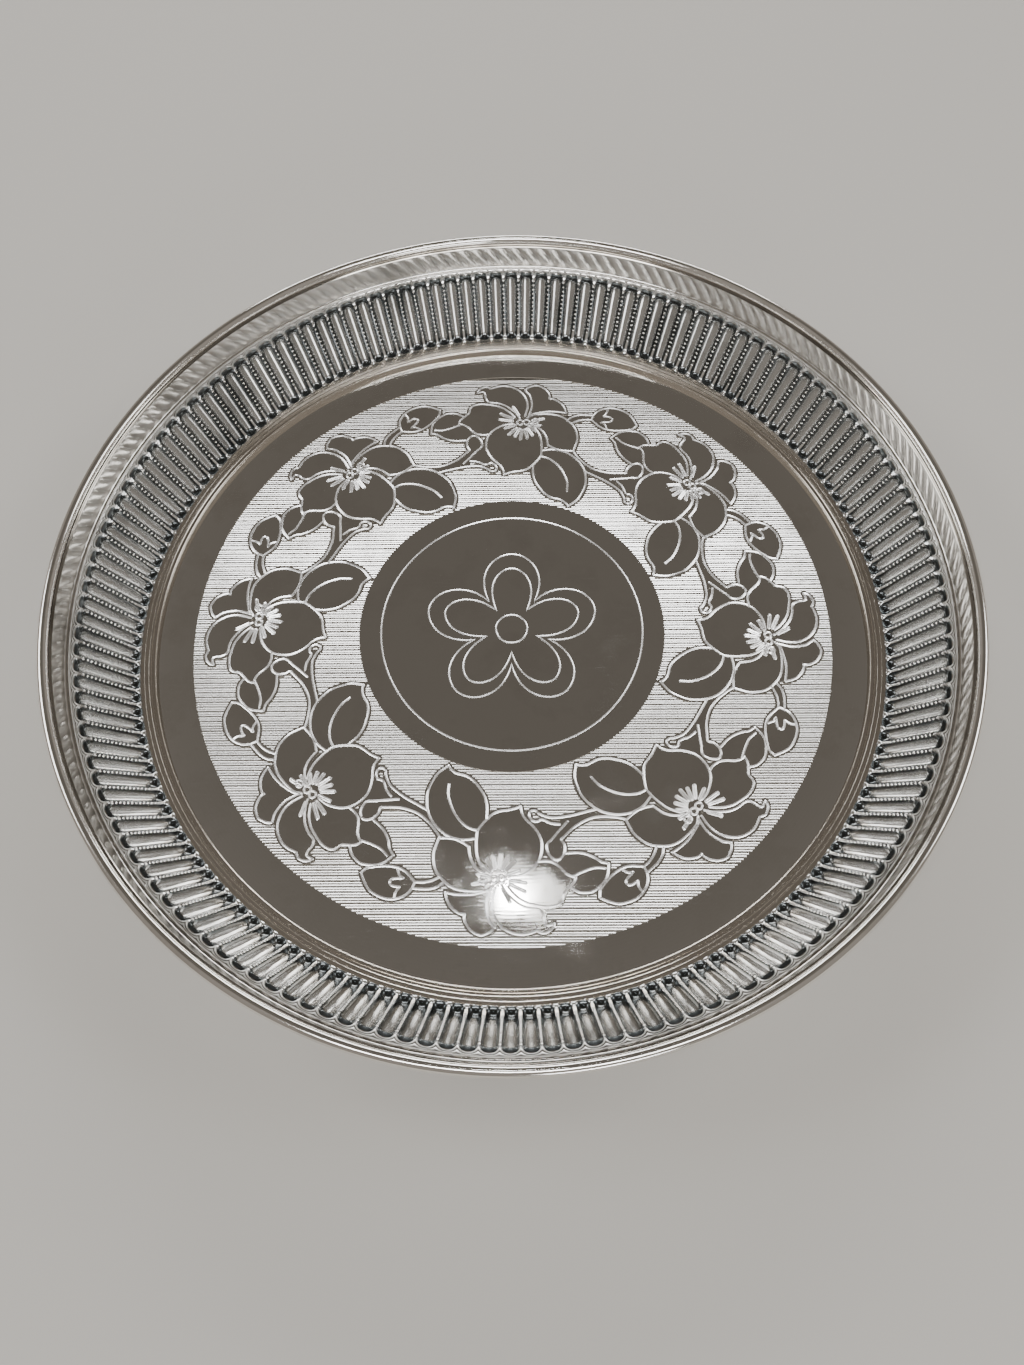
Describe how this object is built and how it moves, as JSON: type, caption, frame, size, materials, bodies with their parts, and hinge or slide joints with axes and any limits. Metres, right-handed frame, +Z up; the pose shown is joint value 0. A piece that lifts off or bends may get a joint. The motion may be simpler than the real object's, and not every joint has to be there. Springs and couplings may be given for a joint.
{
  "type": "offering plate",
  "caption": "Round silver offering plate with a floral engraved floor, a fluted and beaded gallery wall and a rolled rim.",
  "frame": {"origin": "centre of the flat underside, on the surface that the plate stands on", "axes": "+Z up out of the plate, along its axis; +X and +Y level, with a flower spray just below +X"},
  "size_m": [0.3048, 0.3048, 0.035],
  "materials": {
    "silver_plate": "polished silver plate on brass sheet",
    "wire_steel": "drawn steel wire, hidden inside the roll"
  },
  "bodies": {
    "root": {"floor_disc": "silver_plate", "reeded_ring": "silver_plate", "gallery_band": "silver_plate", "border_moulding": "silver_plate", "edge_wire": "wire_steel"}
  },
  "joints": []
}
